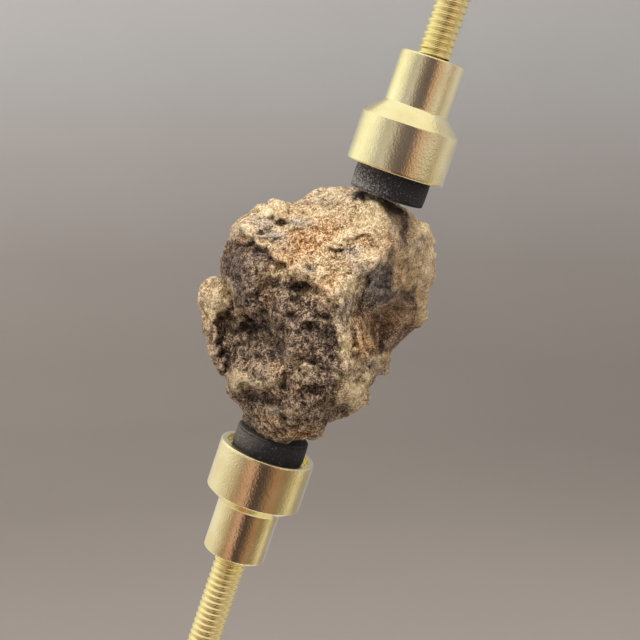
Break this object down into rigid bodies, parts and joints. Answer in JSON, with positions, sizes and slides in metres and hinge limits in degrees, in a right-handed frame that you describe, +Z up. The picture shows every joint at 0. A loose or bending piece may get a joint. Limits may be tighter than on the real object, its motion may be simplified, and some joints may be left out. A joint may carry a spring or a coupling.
{
  "type": "mounted chondrite meteorite fragment",
  "caption": "Rugged stony meteorite fragment gripped between rubber-padded stepped brass cups on leaning threaded brass rods.",
  "frame": {"origin": "middle of the lower rod's free end face", "axes": "+Z up; the clamp axes lie in the XZ plane and lean 18.4 degrees from +Z towards +X; the side shown in front faces -Y"},
  "size_m": [0.0366, 0.0251, 0.0887],
  "materials": {
    "stone": "rough broken stone, tan and rust-orange on the upper face, dark grey-brown and granular below",
    "rubber": "matt black rubber with a grey bloom of stone dust",
    "cup_brass": "turned brass, pale, lightly polished with fine turning lines",
    "rod_brass": "threaded brass rod, a warmer yellow than the cups"
  },
  "bodies": {
    "root": {"meteorite": "stone", "lower_pad": "rubber", "upper_pad": "rubber", "lower_clamp_cup": "cup_brass", "upper_clamp_cup": "cup_brass", "lower_threaded_rod": "rod_brass", "upper_threaded_rod": "rod_brass"}
  },
  "joints": []
}
